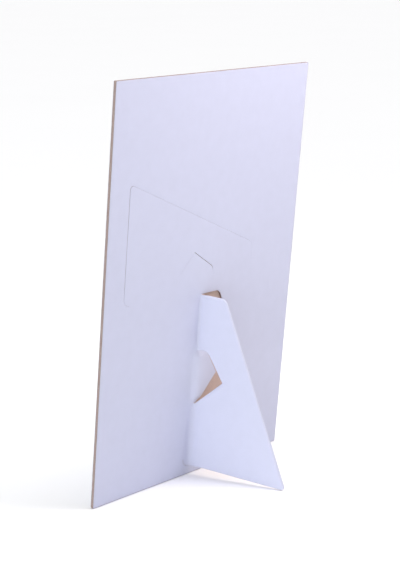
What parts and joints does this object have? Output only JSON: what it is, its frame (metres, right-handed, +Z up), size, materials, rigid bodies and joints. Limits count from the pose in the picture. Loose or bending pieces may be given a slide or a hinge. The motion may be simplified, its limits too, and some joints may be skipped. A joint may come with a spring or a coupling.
{
  "type": "easel-backed photo mount",
  "caption": "Stiff white-lined board for a flat print, with die-cut easel struts in its back that stand it upright or sideways on a table.",
  "frame": {"origin": "on the table, under the middle of the standing mount's bounding box", "axes": "+Z up, the picture side faces -Y, the struts open towards +Y, +X runs across the board"},
  "size_m": [0.2032, 0.0802, 0.3037],
  "materials": {
    "lining_paper": "uncoated smooth white lining paper",
    "greyboard": "solid tan greyboard, die-cut and guillotined edges",
    "glue": "dried laminating glue, dull cream film"
  },
  "bodies": {
    "board": {"front_lining": "lining_paper", "front_ply": "greyboard", "glue_film": "glue", "back_ply": "greyboard", "back_lining": "lining_paper", "upright_crease_lower": "lining_paper", "upright_crease_upper": "lining_paper", "sideways_crease_lower": "lining_paper", "sideways_crease_upper": "lining_paper"},
    "upright_strut": {"upright_strut_ply": "greyboard", "upright_strut_lining": "lining_paper"},
    "sideways_strut": {"sideways_strut_ply": "greyboard", "sideways_strut_lining": "lining_paper"}
  },
  "joints": [
    {"name": "upright_fold", "type": "hinge", "parent": "board", "child": "upright_strut", "pos_m": [0.0022, -0.03682, 0.00687], "axis": [0, -0.0939, -0.9956], "range_deg": [-76.4, 13.6], "deforming": ["upright_crease_lower", "upright_crease_upper"]},
    {"name": "sideways_fold", "type": "hinge", "parent": "board", "child": "sideways_strut", "pos_m": [0, -0.02317, 0.15173], "axis": [-1, 0, 0], "range_deg": [0, 90], "deforming": ["sideways_crease_lower", "sideways_crease_upper"]}
  ]
}
